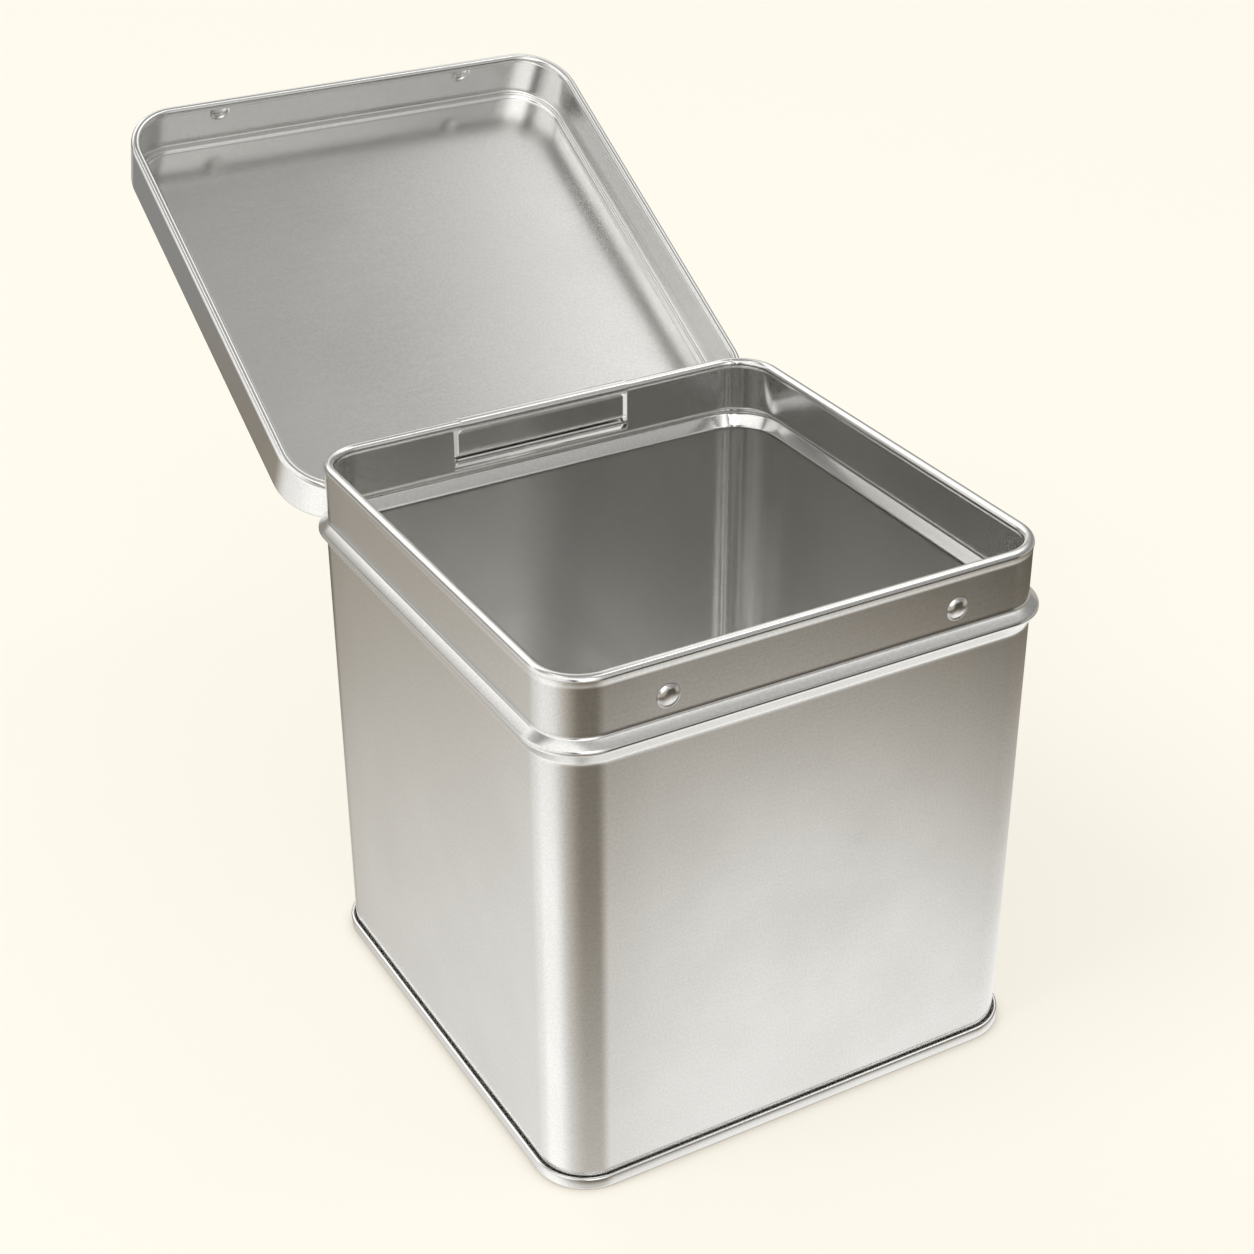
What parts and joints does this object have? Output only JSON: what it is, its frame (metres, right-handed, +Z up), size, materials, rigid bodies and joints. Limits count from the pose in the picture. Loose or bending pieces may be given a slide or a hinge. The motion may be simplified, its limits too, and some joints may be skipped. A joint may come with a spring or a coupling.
{
  "type": "hinged tea tin",
  "caption": "Square tinplate tea tin with rounded corners, a shoulder bead, a rolled neck, a hemmed base and a lid that tips back on a wire hinge.",
  "frame": {"origin": "centre of the base panel's flat underside, on the surface that the tin stands on", "axes": "+Z up; the front, with the snap pips, faces -Y; the hinge runs along X at the back, on the +Y side"},
  "size_m": [0.1042, 0.1973, 0.1484],
  "materials": {
    "tinplate": "satin, fine rolling grain",
    "hinge_wire": "drawn wire"
  },
  "bodies": {
    "tin": {"body_shell": "tinplate", "base_panel": "tinplate", "hinge_strap": "tinplate", "hinge_pin": "hinge_wire"},
    "lid": {"lid_shell": "tinplate"}
  },
  "joints": [
    {"name": "lid_hinge", "type": "hinge", "parent": "tin", "child": "lid", "pos_m": [0, 0.0509, 0.09735], "axis": [1, 0, 0], "range_deg": [0, 150.66]}
  ]
}
